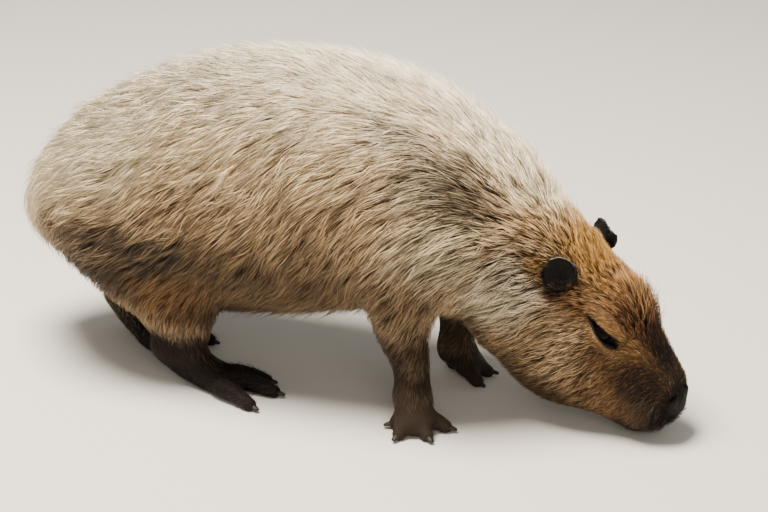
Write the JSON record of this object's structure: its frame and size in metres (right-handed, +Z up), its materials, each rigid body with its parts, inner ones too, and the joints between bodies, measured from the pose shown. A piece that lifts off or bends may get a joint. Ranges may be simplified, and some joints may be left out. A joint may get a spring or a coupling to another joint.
{
  "type": "capybara",
  "caption": "Life-size still model of an adult capybara grazing, head down to the floor, standing on all four feet with one hind foot behind the other.",
  "frame": {"origin": "on the floor, at the middle of the animal's length and width, between its feet", "axes": "+X from rump to nose along the body, +Y to the animal's left, +Z up from the floor"},
  "size_m": [1.0253, 0.3464, 0.5072],
  "materials": {
    "straw_fur": "coarse, straw-pale coat of the back and flanks",
    "tan_fur": "coarse tan coat of the neck and upper forelegs",
    "dun_fur": "coarse dun coat of the thighs",
    "ginger_fur": "short ginger and brown coat of the head",
    "brown_fur": "short red-brown coat of the lower legs",
    "dark_skin": "bare or nearly bare dark skin, fine creases",
    "horn": "dark horn, slightly worn",
    "eye": "wet, dark brown eye"
  },
  "bodies": {
    "root": {"trunk": "straw_fur", "neck": "tan_fur", "foreleg_right_upper": "tan_fur", "foreleg_left_upper": "tan_fur", "hindleg_right_upper": "dun_fur", "hindleg_left_upper": "dun_fur", "head": "ginger_fur", "foreleg_right_lower": "brown_fur", "foreleg_left_lower": "brown_fur", "hindleg_right_lower": "brown_fur", "hindleg_left_lower": "brown_fur", "ear_right": "dark_skin", "ear_left": "dark_skin", "foreleg_right_foot": "dark_skin", "foreleg_left_foot": "dark_skin", "hindleg_right_foot": "dark_skin", "hindleg_left_foot": "dark_skin", "nail_fore_right_1": "horn", "nail_fore_right_2": "horn", "nail_fore_right_3": "horn", "nail_fore_right_4": "horn", "nail_fore_left_1": "horn", "nail_fore_left_2": "horn", "nail_fore_left_3": "horn", "nail_fore_left_4": "horn", "nail_hind_right_1": "horn", "nail_hind_right_2": "horn", "nail_hind_right_3": "horn", "nail_hind_left_1": "horn", "nail_hind_left_2": "horn", "nail_hind_left_3": "horn", "eye_right": "eye", "eye_left": "eye"}
  },
  "joints": []
}
